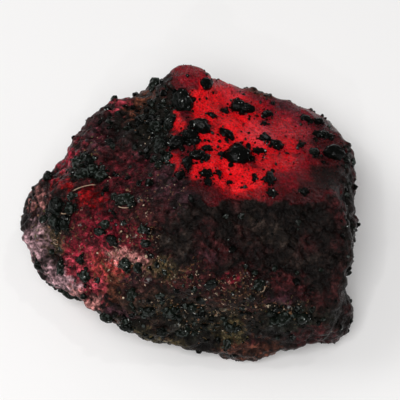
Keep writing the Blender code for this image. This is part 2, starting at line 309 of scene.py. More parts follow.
def colour_property(name, description, hex_colour):
    """A colour that a user may change."""
    return bpy.props.FloatVectorProperty(
        name=name, description=description, subtype="COLOR", size=3, min=0, max=1,
        default=linear(hex_colour),
    )


def length_property(name, description, size_mm):
    """A length that a user may change."""
    return bpy.props.FloatProperty(
        name=name, description=description, unit="LENGTH", min=0, precision=5,
        default=size_mm * MM,
    )


def count_property(name, description, number):
    """A number that a user may change."""
    return bpy.props.IntProperty(name=name, description=description, default=number, min=0)


class RubySizes(bpy.types.PropertyGroup):
    """Sizes of the corundum lump."""

    mesh_step: length_property("Mesh step", "Side of a face of the finished skin", 0.16)
    broad_lumps: length_property("Broad lumps", "How far the skin swells and sinks", 1.5)
    small_lumps: length_property("Small lumps", "Depth of the lumps on the swells", 0.7)
    skin_depth: length_property("Skin depth", "Depth of the plain skin's roughness", 0.5)
    ridge_depth: length_property("Ridge depth", "Height of the long wavy ridges", 0.3)
    crust_depth: length_property("Crust depth", "Depth of the crusted skin's roughness", 0.5)
    window_depth: length_property("Window depth", "Depth of the clear patch's ripples", 0.16)
    worn_passes: count_property("Wear", "How often the edges are rubbed down", 60)


class GrainSizes(bpy.types.PropertyGroup):
    """Numbers and sizes of the grains in the skin."""

    black_grains: count_property("Black grains", "Small amphibole grains", 1000)
    specks: count_property("Specks", "Tiny black specks on the clear patch", 260)
    pale_grains: count_property("Pale grains", "Cream, tan and olive grains", 480)
    curls: count_property("Curls", "Tiny pale crescents between the grains", 130)
    smallest: length_property("Smallest", "Width of the smallest black grain", 0.16)
    largest: length_property("Largest", "Width of the largest scattered black grain", 0.75)


class RubyColours(bpy.types.PropertyGroup):
    """Colours of the stone's skin, and the painted light and sheen of its clear patch."""

    __annotations__ = {name: colour_property(*words) for name, words in PAINTS.items()}


class GrainColours(bpy.types.PropertyGroup):
    """Colours of the grains, their painted sheen and glints, and of what the stone lies on."""

    amphibole: colour_property("Amphibole", "Black crystals", "#060706")
    moss: colour_property("Moss", "Greener amphibole", "#0f140f")
    # Painted sheen on amphibole faces.
    painted_facet_sheen: colour_property("Facet", "Amphibole faces turned to the light", "#4a524e")
    cream: colour_property("Cream", "Pale feldspar grains", "#c0ac94")
    tan: colour_property("Tan", "Rusty grains", "#6e4830")
    olive: colour_property("Olive", "Olive grains", "#4a4628")
    # Painted glints: a pale colour put where tiny facets would catch the light.
    painted_glint: colour_property("Glint", "Tiny facets that catch the light", "#c8ccc8")
    paper: colour_property("Paper", "What the stone lies on", "#fafafa")


# ---------------------------------------------------------------- helpers


def deselect():
    """Leaves edit mode and selects nothing."""
    if bpy.context.object and bpy.context.object.mode != "OBJECT":
        bpy.ops.object.mode_set(mode="OBJECT")
    bpy.ops.object.select_all(action="DESELECT")


def only(piece):
    """Selects one piece and makes it the active one."""
    deselect()
    piece.select_set(True)
    bpy.context.view_layer.objects.active = piece


def facing(azimuth, slope):
    """The outward direction of a face: its azimuth from +X, and its slope from level."""
    turn, tilt = math.radians(azimuth), math.radians(slope)
    return Vector(
        (math.sin(tilt) * math.cos(turn), math.sin(tilt) * math.sin(turn), math.cos(tilt))
    )


def finish_modifiers(piece):
    """Applies every modifier of a piece, in order."""
    only(piece)
    for modifier in list(piece.modifiers):
        bpy.ops.object.modifier_apply(modifier=modifier.name)


def add(tree, kind, inputs=None, output=0, **settings):
    """Adds a node with its settings, and its inputs as values or links; gives one output."""
    made = tree.nodes.new(kind)
    for name, value in settings.items():
        setattr(made, name, value)
    for name, value in (inputs or {}).items():
        socket = made.inputs[name]
        if isinstance(value, bpy.types.NodeSocket):
            tree.links.new(value, socket)
        else:
            socket.default_value = (*value, 1.0) if socket.type == "RGBA" else value
    return made.outputs[output] if made.outputs else None


def read(items, field, width):
    """A row of numbers for each of a mesh's vertices or faces."""
    flat = np.zeros(len(items) * width, np.float32)
    items.foreach_get(field, flat)
    return flat.reshape(-1, width).astype(float)


def vertex_skin(piece):
    """The places and the outward directions of a mesh's vertices."""
    mesh = piece.data
    return read(mesh.vertices, "co", 3), read(mesh.vertex_normals, "vector", 3)


def cut(point, outward, near):
    """Cuts away all that lies outside a plane, and closes the cut with one face."""
    bpy.ops.mesh.select_all(action="SELECT")
    bpy.ops.mesh.bisect(
        plane_co=point, plane_no=outward, use_fill=True, clear_outer=True, threshold=near
    )


def seen(places):
    """Places as they are seen, in mm from the heart: right, up and towards the eye."""
    offset = places - np.array(EYE)
    depth = -(offset @ np.array(TOWARDS))
    shift = AIM - HEART
    right = offset @ np.array(RIGHT) * SIGHT_DISTANCE / depth + shift.dot(RIGHT)
    up = offset @ np.array(UP) * SIGHT_DISTANCE / depth + shift.dot(UP)
    return np.stack([right, up, SIGHT_DISTANCE - depth], 1) / MM


def smooth_step(values, low, high):
    """0 below low, 1 above high and a smooth rise between."""
    t = np.clip((values - low) / (high - low), 0, 1)
    return t * t * (3 - 2 * t)


def depth_inside(outline, view):
    """How far inside an outline each seen place is, in mm; below 0 is outside."""
    x, y = view[:, 0], view[:, 1]
    nearest = np.full(len(view), 1e9)
    inside = np.zeros(len(view), bool)
    for (ax, ay), (bx, by) in zip(outline, outline[1:] + outline[:1]):
        along = ((x - ax) * (bx - ax) + (y - ay) * (by - ay)) / ((bx - ax) ** 2 + (by - ay) ** 2)
        along = np.clip(along, 0, 1)
        nearest = np.minimum(
            nearest, np.hypot(x - ax - along * (bx - ax), y - ay - along * (by - ay))
        )
        crosses = (ay > y) != (by > y)
        if ay != by:
            inside ^= crosses & (x < (bx - ax) * (y - ay) / (by - ay) + ax)
    return np.where(inside, nearest, -nearest)


def under_spot(view, spot, softness=0.35):
    """How strongly each seen place is under an oval spot, from 0 to 1."""
    right, up, half_width, half_height, tilt = spot[:5]
    turn = math.radians(tilt)
    dx, dy = view[:, 0] - right, view[:, 1] - up
    across = (dx * math.cos(turn) + dy * math.sin(turn)) / half_width
    along = (dy * math.cos(turn) - dx * math.sin(turn)) / half_height
    return 1 - smooth_step(np.hypot(across, along), 1 - softness, 1 + softness)


def under_spots(view, spots):
    """How strongly each seen place is under any of several spots."""
    total = np.zeros(len(view))
    for spot in spots:
        total = np.maximum(total, spot[5] * under_spot(view, spot, 0.5))
    return total


def drift(places, size_mm, offset):
    """Slow noise over the places, from 0 to 1."""
    shift = Vector((offset, offset, offset))
    return np.array([0.5 + 0.5 * noise.noise(Vector(p) / (size_mm * MM) + shift) for p in places])


def wander(places, size_mm, reach_mm, offset):
    """A push to the side for each place, in mm, that makes the edges of spots ragged."""
    push = [drift(places, size_mm, offset + turn) for turn in (0, 50)]
    return (np.stack(push, 1) * 2 - 1) * reach_mm


def streaks(view, size_mm, ratio, tilt, offset):
    """Long wavy ridges seen on the front, from 0 to 1."""
    turn = math.radians(tilt)
    x, y, z = view.T
    along = (x * math.cos(turn) + y * math.sin(turn)) / ratio
    across = y * math.cos(turn) - x * math.sin(turn)
    spots = np.stack([along, across, z], 1) / size_mm + offset
    waves = np.array([noise.noise(Vector(spot)) for spot in spots])
    return smooth_step(0.5 + 0.9 * waves, 0.2, 0.8)


def hollows(piece, passes=25):
    """How sunken each vertex of a mesh is against a smoothed skin, in mm; ridges are below 0."""
    pairs = np.zeros(len(piece.data.edges) * 2, np.int32)
    piece.data.edges.foreach_get("vertices", pairs)
    first, second = pairs.reshape(-1, 2).T
    places, normals = vertex_skin(piece)
    count = np.bincount(pairs, minlength=len(places)).clip(1)

    def spread(values):
        gained = np.bincount(first, values[second], len(values))
        return (gained + np.bincount(second, values[first], len(values))) / count

    smooth = places.copy()
    for _ in range(passes):
        for axis in range(3):
            smooth[:, axis] = (smooth[:, axis] + spread(smooth[:, axis])) / 2
    sunk = ((smooth - places) * normals).sum(1) / MM
    return (sunk + spread(sunk)) / 2


class Zones:
    """What the skin is like at a set of places: how clear and how crusted it is."""

    def __init__(self, places, normals):
        self.view = seen(places)
        self.view[:, :2] += (
            wander(places, size_mm=1.5, reach_mm=0.8, offset=3)
            + wander(places, size_mm=0.5, reach_mm=0.35, offset=5)
        )
        self.front = smooth_step(normals @ np.array(TOWARDS), -0.35, -0.05)
        self.slow = drift(places, size_mm=3.0, offset=7)
        self.ridges = streaks(self.view, size_mm=0.75, ratio=3.5, tilt=-14, offset=19)
        inside = depth_inside(WINDOW_OUTLINE, self.view)
        self.window = smooth_step(inside, -0.15, 0.15) * self.front
        crust = under_spots(self.view, CRUST_SPOTS)
        self.crust = crust * self.front + (1 - self.front) * 0.4 * smooth_step(self.slow, 0.5, 0.25)
        self.crust *= 1 - 0.85 * self.window
        flecks = under_spots(self.view, FLECK_SPOTS)
        self.flecks = flecks * self.front + (1 - self.front) * 0.35


def paint_skin(places, zones, colours):
    """The skin's colour at each place: patches over charcoal and maroon, and on the clear patch
    painted light let through and a painted pink sheen.
    """
    paint = {name: np.array(getattr(colours, name)) for name in PAINTS}
    broad = drift(places, size_mm=2.2, offset=11)
    middle = drift(places, size_mm=4.0, offset=17)
    tone = np.tile(paint["charcoal"], (len(places), 1))

    def cover(share, name):
        tone[:] += share[:, None] * (paint[name] - tone)

    cover(smooth_step(broad, 0.5, 0.75) * 0.7, "maroon")
    cover(smooth_step(broad, 0.42, 0.2) * 0.8, "black")
    mingled = zones.view.copy()
    mingled[:, :2] += wander(places, size_mm=0.3, reach_mm=0.9, offset=9)
    for patch in PATCHES:
        cover(under_spot(mingled, patch) * patch[5], patch[6])
    away = 1 - zones.front
    cover(away, "charcoal")
    cover(away * smooth_step(broad, 0.42, 0.62), "maroon")
    cover(away * smooth_step(middle, 0.5, 0.65), "wine")
    cover(away * smooth_step(middle, 0.62, 0.74), "raspberry")
    cover(away * smooth_step(broad, 0.36, 0.24) * 0.7, "plum")
    skin = tone.copy()
    # The clear patch: its reds are painted light let through it, under a painted pink sheen.
    tone[:] = paint["ember"]
    for patch in CLEAR_PATCHES:
        cover(under_spot(zones.view, patch) * patch[5], patch[6])
    return skin + zones.window[:, None] * (tone - skin)


# ---------------------------------------------------------------- the corundum lump


def cleave_block():
    """A block cleaved along every face and break of the lump."""
    deselect()
    bpy.ops.mesh.primitive_cube_add(size=BLOCK_SIDE, location=HEART)
    stone = bpy.context.object
    bpy.ops.object.transform_apply(location=True, rotation=True, scale=True)
    cuts = [(facing(azimuth, slope), reach) for azimuth, slope, reach in FACES]
    for degrees, reach in GIRDLE:
        turn = math.radians(degrees)
        cuts.append((RIGHT * math.cos(turn) + UP * math.sin(turn), reach))
    bpy.ops.object.mode_set(mode="EDIT")
    for outward, reach in cuts:
        cut(HEART + outward * reach * MM, outward, STONE_NEAR)
    for right, up, towards, width in KNOBS:
        bpy.ops.mesh.primitive_ico_sphere_add(
            subdivisions=3, radius=width / 2 * MM,
            location=HEART + (RIGHT * right + UP * up + TOWARDS * towards) * MM,
        )
    cut((0, 0, -ROUGH_BASE_DEPTH), (0, 0, -1), STONE_NEAR)
    bpy.ops.object.mode_set(mode="OBJECT")
    return stone


def add_displace(stone, name, size, depth, group=None):
    """A Displace modifier that follows a cloud pattern of the given size."""
    pattern = bpy.data.textures.new(name, "CLOUDS")
    pattern.noise_scale = size
    pattern.noise_depth = 1
    lumps = stone.modifiers.new(name, "DISPLACE")
    lumps.texture = pattern
    lumps.texture_coords = "LOCAL"
    lumps.strength = depth
    lumps.mid_level = 0.5
    if group:
        lumps.vertex_group = group


def weigh(stone, name, weights):
    """A vertex group with one weight for each vertex."""
    group = stone.vertex_groups.new(name=name)
    for index, weight in enumerate(weights):
        if weight > LIGHTEST:
            group.add([index], float(weight), "REPLACE")
    return name


def cut_base(stone):
    """Cuts the stone flat at the floor, where it rests."""
    only(stone)
    bpy.ops.object.mode_set(mode="EDIT")
    cut((0, 0, 0), (0, 0, -1), STONE_NEAR)
    bpy.ops.mesh.select_all(action="SELECT")
    bpy.ops.mesh.quads_convert_to_tris()
    bpy.ops.object.mode_set(mode="OBJECT")


def store(stone, name, values):
    """Keeps a number or a colour for each vertex, for a material to read."""
    if values.ndim == 2:
        kept = stone.data.attributes.new(name, "FLOAT_COLOR", "POINT")
        opaque_values = np.concatenate([values, np.ones((len(values), 1))], 1)
        kept.data.foreach_set("color", opaque_values.astype(np.float32).ravel())
    else:
        kept = stone.data.attributes.new(name, "FLOAT", "POINT")
        kept.data.foreach_set("value", values.astype(np.float32))


class RUBY_OT_stone(bpy.types.Operator):
    """Models the corundum lump"""

    bl_idname = "ruby.stone"
    bl_label = "Ruby"

    def execute(self, context):
        sizes = context.scene.ruby_sizes
        stone = cleave_block()
        stone.name = "ruby_body"
        stone.data.name = "ruby_body"
        remesh = stone.modifiers.new("even_mesh", "REMESH")
        remesh.mode = "VOXEL"
        remesh.voxel_size = sizes.mesh_step
        worn = stone.modifiers.new("worn_edges", "SMOOTH")
        worn.factor = 0.5
        worn.iterations = sizes.worn_passes
        add_displace(stone, "broad_lumps", 6.0 * MM, sizes.broad_lumps)
        add_displace(stone, "small_lumps", 2.2 * MM, sizes.small_lumps)
        finish_modifiers(stone)
        zones = Zones(*vertex_skin(stone))
        rough = weigh(stone, "rough", np.clip(1 - zones.window, 0, 1))
        clear = weigh(stone, "clear", zones.window)
        crusted = weigh(stone, "crusted", zones.crust)
        for name, size, depth, group in (
            ("skin_lumps", 1.0 * MM, sizes.skin_depth, rough),
            ("skin_grain", 0.42 * MM, sizes.skin_depth * 0.5, rough),
            ("crust_lumps", 0.75 * MM, sizes.crust_depth, crusted),
            ("ripples", 1.5 * MM, sizes.window_depth, clear),
        ):
            add_displace(stone, name, size, depth, group)
        ridges = stone.modifiers.new("ridges", "DISPLACE")
        ridges.strength = sizes.ridge_depth
        ridges.vertex_group = weigh(stone, "ridges", zones.ridges * (1 - zones.window))
        finish_modifiers(stone)
        cut_base(stone)
        places, normals = vertex_skin(stone)
        zones = Zones(places, normals)
        for name in ("window", "crust", "flecks"):
            store(stone, name, getattr(zones, name))
        # How sunken the skin is, for the painted shade in its hollows.
        store(stone, "hollow", np.clip(0.5 + 4.0 * hollows(stone), 0, 1))
        # The crests, where painted glints are put.
        crests = -hollows(stone, 5)
        store(stone, "crest", smooth_step(crests / crests.std(), 0.9, 2.0))
        fibre = streaks(zones.view, size_mm=0.32, ratio=5, tilt=-35, offset=29)
        store(stone, "fibre", 1 + 0.6 * (fibre - 0.5) * (1 - zones.window) * zones.front)
        # The skin's colours, with the painted light of the clear patch.
        store(stone, "tone", paint_skin(places, zones, context.scene.ruby_colours))
        only(stone)
        bpy.ops.object.shade_smooth()
        stone.data.materials.append(corundum_rough_break(context.scene))
        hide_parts(STONE_NODE)
        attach(stone, BODY)
        return {"FINISHED"}


# ---------------------------------------------------------------- crystals and grains


def centre_nugget(nugget):
    """Brings a grain to the origin and makes it one unit across each way."""
    only(nugget)
    bpy.ops.object.origin_set(type="ORIGIN_GEOMETRY", center="BOUNDS")
    nugget.location = (0, 0, 0)
    nugget.dimensions = (1, 1, 1)
    bpy.ops.object.transform_apply(location=True, rotation=True, scale=True)


def roughen(ragged, seed):
    """Moves the corners of a grain a little at random, and leaves edit mode."""
    bpy.ops.mesh.select_all(action="SELECT")
    bpy.ops.mesh.quads_convert_to_tris()
    bpy.ops.transform.vertex_random(offset=ragged, uniform=0.0, normal=0.0, seed=seed)
    bpy.ops.mesh.normals_make_consistent(inside=False)
    bpy.ops.object.mode_set(mode="OBJECT")


def model_nugget(name, seed, cuts, finer, ragged):
    """One stubby grain, one unit across: a ball, lumpy if finer, cut by natural faces."""
    chance = random.Random(seed)
    deselect()
    bpy.ops.mesh.primitive_ico_sphere_add(
        subdivisions=3 if finer else 2, radius=0.5, rotation=(seed, 2 * seed, 3 * seed)
    )
    nugget = bpy.context.object
    nugget.name = name
    bpy.ops.object.transform_apply(location=True, rotation=True, scale=True)
    if finer:
        add_displace(nugget, "lumps", size=0.42, depth=0.22)
        finish_modifiers(nugget)
    nearest, farthest = (0.40, 0.48) if finer else (0.26, 0.44)
    bpy.ops.object.mode_set(mode="EDIT")
    for _ in range(cuts):
        outward = Vector([chance.gauss(0, 1) for _ in range(3)]).normalized()
        cut(outward * chance.uniform(nearest, farthest), outward, GRAIN_NEAR)
    roughen(ragged, seed)
    centre_nugget(nugget)
    bpy.ops.object.shade_smooth_by_angle(angle=SHARP_ANGLE)
    return nugget


def model_rim(name, thickness, segments, sides):
    """A thin crescent, one unit across, open at the top: part of a ring."""
    deselect()
    bpy.ops.mesh.primitive_torus_add(
        major_radius=0.5, minor_radius=thickness / 2, major_segments=segments,
        minor_segments=sides,
    )
    rim = bpy.context.object
    rim.name = name
    bpy.ops.object.mode_set(mode="EDIT")
    cut((0, RIM_CUT, 0), (0, 1, 0), GRAIN_NEAR)
    roughen(RIM_RAGGED, seed=3)
    bpy.ops.object.shade_smooth()
    return rim


def skin_of(stone):
    """A tree of the skin, for finding points on it."""
    places = [vertex.co for vertex in stone.data.vertices]
    return BVHTree.FromPolygons(places, [tuple(face.vertices) for face in stone.data.polygons])


def on_skin(skin, right, up):
    """The point of the skin seen at a place, and its outward direction."""
    spot = HEART + (RIGHT * right + UP * up) * MM
    point, outward, _, _ = skin.ray_cast(EYE, (spot - EYE).normalized())
    if point is None:
        point, outward, _, _ = skin.find_nearest(spot)
    return point, outward


def stand(outward, chance, lean=0.35, spin=None):
    """A turn that stands a grain on the skin, leaning a little at random."""
    axis = (outward + Vector([chance.gauss(0, lean) for _ in range(3)])).normalized()
    across = RIGHT - axis * RIGHT.dot(axis)
    if across.length < 0.1:
        across = UP - axis * UP.dot(axis)
    across.normalize()
    turn = Matrix((across, axis.cross(across), axis)).transposed()
    angle = chance.uniform(0, math.tau) if spin is None else spin
    return (turn @ Matrix.Rotation(angle, 3, "Z")).to_euler()


class Grains:
    """Places for many grains, set as instances and then made real."""

    def __init__(self):
        self.places, self.turns, self.sizes, self.kinds, self.tints = [], [], [], [], []

    def put(self, place, turn, size, kind, tint):
        """Adds one grain, clear of the floor and no higher than the stone's top."""
        height = min(max(place.z, 0.55 * max(size)), HIGHEST - 0.5 * max(size))
        self.places.append((place.x, place.y, height))
        self.turns.append(turn)
        self.sizes.append(size)
        self.kinds.append(kind)
        self.tints.append(tint)

    def grow(self, name, nuggets, material):
        """Makes one piece out of all the grains, each a copy of a nugget, and finishes it."""
        mesh = bpy.data.meshes.new(name)
        mesh.from_pydata(self.places, [], [])
        for label, kind, field, values in (
            ("turn", "FLOAT_VECTOR", "vector", [tuple(turn) for turn in self.turns]),
            ("size", "FLOAT_VECTOR", "vector", [tuple(size) for size in self.sizes]),
            ("kind", "INT", "value", self.kinds),
            ("tint", "FLOAT", "value", self.tints),
        ):
            kept = mesh.attributes.new(label, kind, "POINT")
            kept.data.foreach_set(field, np.array(values).ravel())
        piece = bpy.data.objects.new(name, mesh)
        bpy.context.scene.collection.objects.link(piece)
        stock = bpy.data.collections.new(name + "_stock")
        for nugget in nuggets:
            stock.objects.link(nugget)
        setting = piece.modifiers.new("set_grains", "NODES")
        setting.node_group = grain_setting(stock)
        finish_modifiers(piece)
        bpy.data.collections.remove(stock)
        for nugget in nuggets:
            bpy.data.objects.remove(nugget)
        piece.data.materials.clear()
        piece.data.materials.append(material)
        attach(piece, BODY)


def grain_setting(stock):
    """Geometry nodes that set a copy of one grain at each point and make the copies real."""
    tree = bpy.data.node_groups.new("set_grains", "GeometryNodeTree")
    tree.interface.new_socket(name="Geometry", in_out="INPUT", socket_type="NodeSocketGeometry")
    tree.interface.new_socket(name="Geometry", in_out="OUTPUT", socket_type="NodeSocketGeometry")
    kinds = add(
        tree, "GeometryNodeCollectionInfo",
        {"Collection": stock, "Separate Children": True, "Reset Children": True},
    )
    kind, turn, size = (
        add(
            tree, "GeometryNodeInputNamedAttribute", {"Name": label}, "Attribute",
            data_type=data_type,
        )
        for label, data_type in (
            ("kind", "INT"), ("turn", "FLOAT_VECTOR"), ("size", "FLOAT_VECTOR")
        )
    )
    copies = add(
        tree, "GeometryNodeInstanceOnPoints",
        {
            "Points": add(tree, "NodeGroupInput"), "Instance": kinds, "Pick Instance": True,
            "Instance Index": kind, "Rotation": turn, "Scale": size,
        },
    )
    add(tree, "NodeGroupOutput", {0: add(tree, "GeometryNodeRealizeInstances", {0: copies})})
    return tree


def nugget_stock(seed, number, finer, ragged):
    """A few different nuggets, modelled from one seed and those after it."""
    return [
        model_nugget(f"nugget_{seed + index}", seed + index, 4 + index % 4, finer, ragged)
        for index in range(number)
    ]


def find_stone():
    """The finished lump."""
    stone = bpy.data.objects.get("ruby_body")
    if stone is None:
        raise RuntimeError("model the ruby first")
    return stone


def random_places(stone, number, chance, density):
    """Points spread over the skin by area, kept where the density allows."""
    faces = stone.data.polygons
    sums = np.cumsum(read(faces, "area", 1))
    draws = np.array([chance.random() for _ in range(number * DRAWS_FOR_A_GRAIN)]) * sums[-1]
    picks = np.searchsorted(sums, draws).clip(0, len(faces) - 1)
    centres, normals = read(faces, "center", 3)[picks], read(faces, "normal", 3)[picks]
    above = centres[:, 2] > LOWEST
    centres, normals = centres[above], normals[above]
    chances = density(Zones(centres, normals))
    keep = np.array([chance.random() for _ in range(len(centres))]) < chances
    centres, normals = centres[keep][:number], normals[keep][:number]
    return [(Vector(c), Vector(n)) for c, n in zip(centres, normals)]


class RUBY_OT_crystals(bpy.types.Operator):
    """Sets the larger black amphibole crystals into the skin"""

    bl_idname = "ruby.crystals"
    bl_label = "Black crystals"

    def execute(self, context):
        skin = skin_of(find_stone())
        chance = random.Random(CRYSTAL_SEED)
        nuggets = nugget_stock(seed=40, number=BLACK_KINDS, finer=True, ragged=0.05)
        nuggets += nugget_stock(seed=60, number=BLACK_KINDS, finer=False, ragged=0.07)
        grains = Grains()
        for right, up, width, height, tilt in BIG_CRYSTALS:
            point, outward = on_skin(skin, right, up)
            mean = (width + height) / 2
            size = Vector((width, height, mean * THICKNESS)) * SWELLING * MM
            lean = math.radians(tilt)
            turn = stand(outward, chance, 0.1, lean + chance.choice((0, math.pi)))
            clustered = depth_inside(WINDOW_OUTLINE, np.array([[right, up]]))[0] > 0
            tint = chance.random() / 2 + (0 if clustered else 0.5)
            kind = chance.randrange(BLACK_KINDS)
            grains.put(point + outward * mean * STANDS_OUT * MM, turn, size, kind, tint)
            around, knobs = ROUND_A_CLUSTERED_CRYSTAL if clustered else ROUND_A_LONE_CRYSTAL
            for number in range(around):
                angle = chance.uniform(0, math.tau)
                reaches, widths = KNOB_SHARES if number < knobs else CRUMB_SHARES
                reach = chance.uniform(*reaches)
                dx, dy = width * reach * math.cos(angle), height * reach * math.sin(angle)
                beside, normal = on_skin(
                    skin, right + dx * math.cos(lean) - dy * math.sin(lean),
                    up + dx * math.sin(lean) + dy * math.cos(lean),
                )
                if (beside - point).length > mean * FARTHEST * MM:
                    continue
                share = chance.uniform(*widths) * min(1.0, WIDEST_WITH_LARGER_KNOBS / mean)
                knob = Vector([share * chance.uniform(*KNOB_SIDES) * mean * MM for _ in range(3)])
                lift = max(0.0, LIFTED_WITHIN - reach) * mean * LIFT * MM
                grains.put(
                    beside + normal * lift, stand(normal, chance), knob,
                    BLACK_KINDS + chance.randrange(BLACK_KINDS), tint,
                )
        # Painted glints, rarer on the large crystals than on the small grains.
        finish = amphibole_grown_face(context.scene, painted_glint_rarity=0.68)
        grains.grow("amphibole_crystals", nuggets, finish)
        return {"FINISHED"}


class RUBY_OT_grains(bpy.types.Operator):
    """Sets the small black grains and specks into the skin"""

    bl_idname = "ruby.grains"
    bl_label = "Black grains"

    def execute(self, context):
        sizes = context.scene.ruby_grain_sizes
        stone = find_stone()
        chance = random.Random(GRAIN_SEED)
        nuggets = nugget_stock(seed=70, number=BLACK_KINDS, finer=False, ragged=0.07)
        grains = Grains()

        def crust_density(zones):
            return (0.05 + 0.95 * zones.crust ** 1.3) * (1 - zones.window) ** 2

        def speck_density(zones):
            return zones.window

        grain_span = sizes.largest - sizes.smallest
        for number, density, smallest, span, rarity in (
            (sizes.black_grains, crust_density, sizes.smallest, grain_span, GRAIN_RARITY),
            (sizes.specks, speck_density, SMALLEST_SPECK, SPECK_SPAN, SPECK_RARITY),
        ):
            for place, outward in random_places(stone, number, chance, density):
                width = smallest + span * chance.random() ** rarity
                size = Vector([width * chance.uniform(*GRAIN_SIDES) for _ in range(3)])
                turn = stand(outward, chance)
                kind = chance.randrange(BLACK_KINDS)
                grains.put(place, turn, size, kind, tint=chance.random())
        # Painted glints, a little less rare than on the large crystals.
        finish = amphibole_grown_face(context.scene, painted_glint_rarity=0.66)
        grains.grow("amphibole_grains", nuggets, finish)
        return {"FINISHED"}


class RUBY_OT_pale_grains(bpy.types.Operator):
    """Sets the pale rims and the cream, tan and olive grains into the skin"""

    bl_idname = "ruby.pale_grains"
    bl_label = "Pale grains"

    def execute(self, context):
        sizes = context.scene.ruby_grain_sizes
        stone = find_stone()
        skin = skin_of(stone)
        chance = random.Random(PALE_SEED)
        nuggets = nugget_stock(seed=90, number=PALE_KINDS, finer=False, ragged=0.12)
        nuggets.append(model_rim("rim_94", thickness=0.09, segments=28, sides=6))
        nuggets.append(model_rim("rim_95", thickness=0.14, segments=14, sides=4))
        rim, curl = PALE_KINDS, PALE_KINDS + 1
        grains = Grains()

        def density(zones):
            return (0.01 + 0.99 * zones.flecks) * (1 - zones.window) ** 2

        for place, outward in random_places(stone, sizes.pale_grains, chance, density):
            width = (0.06 + 0.16 * chance.random() ** 2) * MM
            size = Vector((width * chance.uniform(1, 1.7), width, width * 0.7))
            turn = stand(outward, chance)
            kind = chance.randrange(PALE_KINDS)
            grains.put(place, turn, size, kind, tint=chance.random())
        for right, up, width, height, tilt in PALE_RIMS:
            point, outward = on_skin(skin, right, up)
            size = Vector((width, height, (width + height) * 0.6)) * MM
            turn = stand(outward, chance, 0.0, math.radians(tilt))
            grains.put(point + outward * RIM_LIFT * MM, turn, size, rim, tint=0.92)
        for place, outward in random_places(stone, sizes.curls, chance, density):
            width = chance.uniform(0.2, 0.5) * MM
            size = Vector((width, width * chance.uniform(0.6, 1.2), width))
            turn = stand(outward, chance, 0.3)
            grains.put(place, turn, size, curl, tint=chance.uniform(0.1, 1.0))
        grains.grow("pale_grains", nuggets, weathered_feldspar(context.scene))
        return {"FINISHED"}


# ---------------------------------------------------------------- finishes


def new_finish(name):
    """An empty material, its nodes, and the place of each point on the piece."""
    made = bpy.data.materials.new(name)
    made.use_nodes = True
    made.node_tree.nodes.clear()
    return made, made.node_tree, add(made.node_tree, "ShaderNodeTexCoord", output="Object")


def end_finish(made, height, strength, distance_mm, inputs):
    """Ends a material in a principled shader with a bump."""
    tree = made.node_tree
    bump = add(
        tree, "ShaderNodeBump",
        {"Height": height, "Strength": strength, "Distance": distance_mm * MM},
    )
    shader = add(tree, "ShaderNodeBsdfPrincipled", {"Normal": bump, **inputs})
    add(tree, "ShaderNodeOutputMaterial", {0: shader})
    return made


